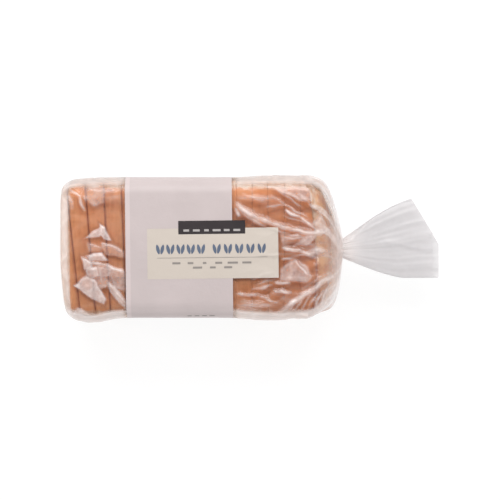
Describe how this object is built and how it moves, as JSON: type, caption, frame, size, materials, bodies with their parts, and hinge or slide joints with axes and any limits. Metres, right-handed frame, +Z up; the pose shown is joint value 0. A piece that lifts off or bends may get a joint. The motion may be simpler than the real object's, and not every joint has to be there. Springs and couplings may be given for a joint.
{
  "type": "loaf in bread bag",
  "caption": "Sliced tin loaf lying in a clear film bag with a printed band and label, gathered at one end into a neck and a flared pleated tail.",
  "frame": {"origin": "centre of the flat resting face, below the middle of the bread", "axes": "+X along the loaf from the sealed end to the gathered tail, +Y across it, +Z up from the resting face to the crown"},
  "size_m": [0.3451, 0.1307, 0.1174],
  "materials": {
    "film": "clear crinkled polyethylene film, slightly milky where it folds, over a browned crust",
    "crust": "matt browned bread crust, paler and more golden down the sides and on the end faces",
    "crumb": "soft matt white-bread crumb with fine pores",
    "print": "semi-opaque pale lilac-grey ink printed on the film",
    "label": "matt cream label field",
    "label_dark": "matt near-black bar on the label",
    "label_blue": "matt grey-blue simple shapes on the label"
  },
  "bodies": {
    "root": {"bread_bag": "film"}
  },
  "joints": []
}
